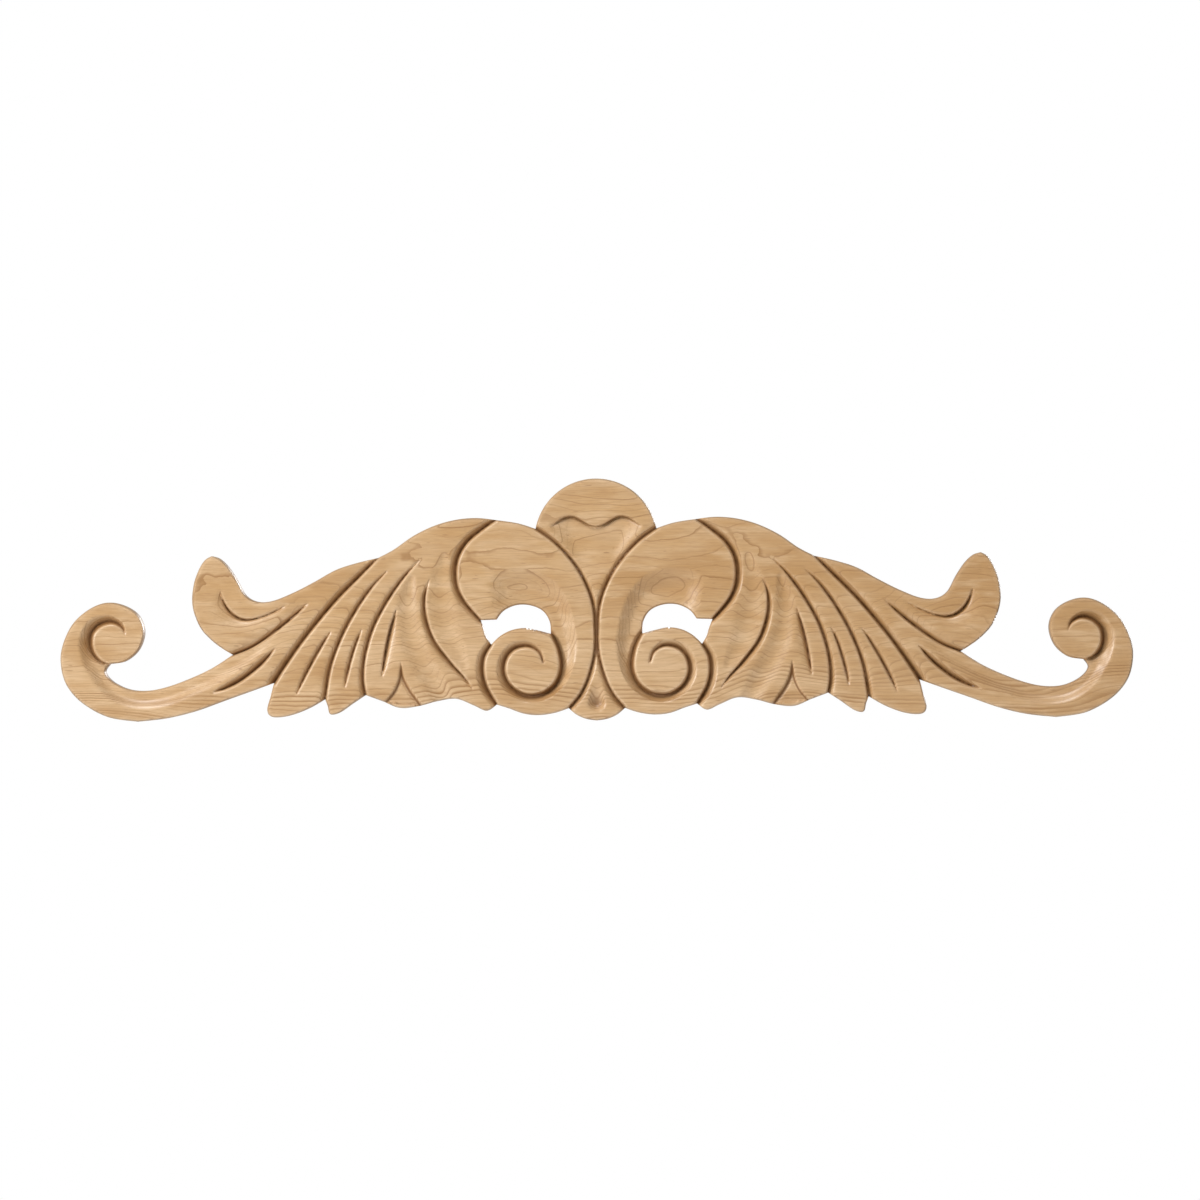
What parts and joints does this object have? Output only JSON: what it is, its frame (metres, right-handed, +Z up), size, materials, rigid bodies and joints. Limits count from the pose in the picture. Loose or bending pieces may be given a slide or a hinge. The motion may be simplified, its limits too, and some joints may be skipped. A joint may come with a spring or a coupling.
{
  "type": "carved wood applique",
  "caption": "Flat-backed carved wood applique with scrolls, feathered leaves and a round crest, glued or pinned to a flat surface as ornament.",
  "frame": {"origin": "centre of the flat back, on the line that the two halves mirror about, half way up", "axes": "+X along the length, +Y out of the flat back towards the surface it is fixed to, +Z up towards the crest"},
  "size_m": [0.6096, 0.019, 0.1375],
  "materials": {
    "maple": "satin"
  },
  "bodies": {
    "root": {"carved_applique": "maple"}
  },
  "joints": []
}
